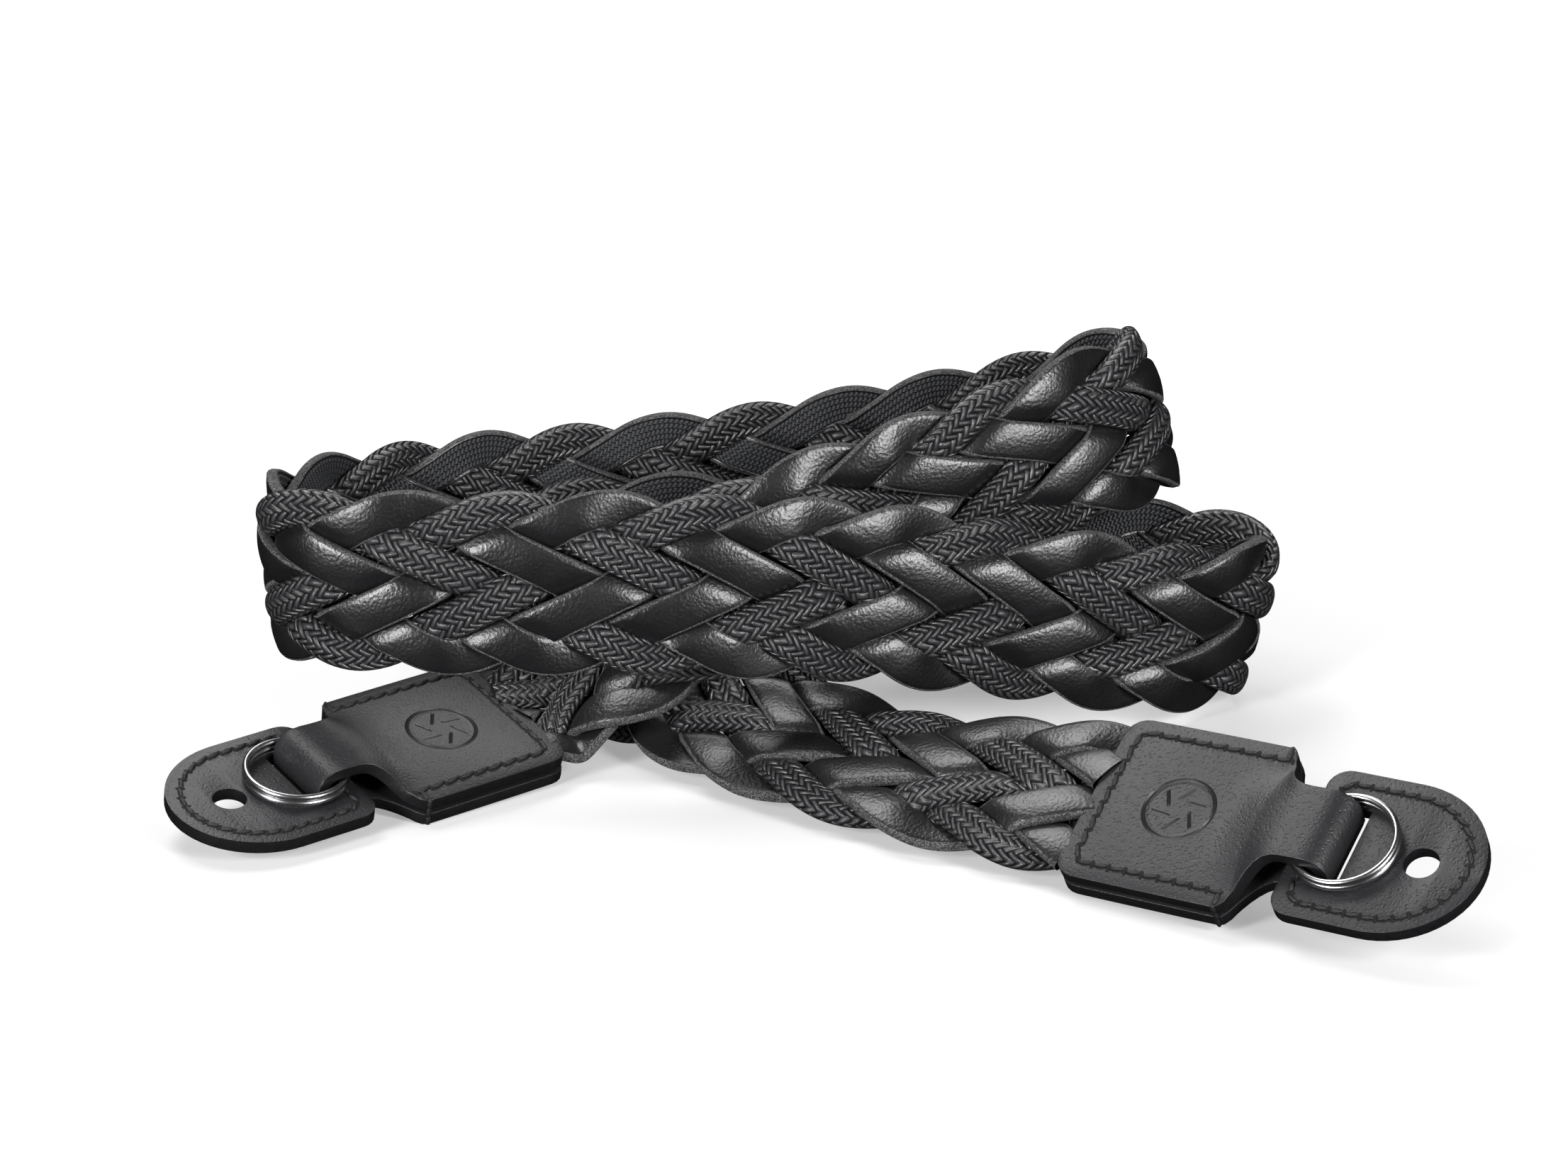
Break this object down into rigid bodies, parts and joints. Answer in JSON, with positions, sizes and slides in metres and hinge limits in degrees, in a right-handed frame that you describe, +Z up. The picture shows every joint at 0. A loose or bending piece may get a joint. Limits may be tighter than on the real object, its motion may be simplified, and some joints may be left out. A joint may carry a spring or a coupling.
{
  "type": "coiled braided leather camera strap",
  "caption": "Flat strap plaited from four leather strips and three textile cords, lying coiled on its edge, with a leather tab, split ring and ring guard at each end.",
  "frame": {"origin": "centre of the footprint's bounding box, on the surface that the coiled strap lies on", "axes": "+X to the right as seen from the front, along the coil's long direction; +Y to the back; +Z up"},
  "size_m": [0.2396, 0.1706, 0.0745],
  "materials": {
    "strip_leather": "smooth black calf leather, satin gloss, light raw edges",
    "tab_leather": "fine-grained black leather, satin, stitched in black",
    "textile_cord": "flat woven dark cord, soft sheen",
    "steel": "polished steel wire"
  },
  "bodies": {
    "root": {"leather_strand_1": "strip_leather", "leather_strand_2": "strip_leather", "cord_strand_1": "textile_cord", "leather_strand_3": "strip_leather", "cord_strand_2": "textile_cord", "leather_strand_4": "strip_leather", "cord_strand_3": "textile_cord", "left_end_tab": "tab_leather", "left_split_ring": "steel", "left_ring_guard": "tab_leather", "right_end_tab": "tab_leather", "right_split_ring": "steel", "right_ring_guard": "tab_leather"}
  },
  "joints": []
}
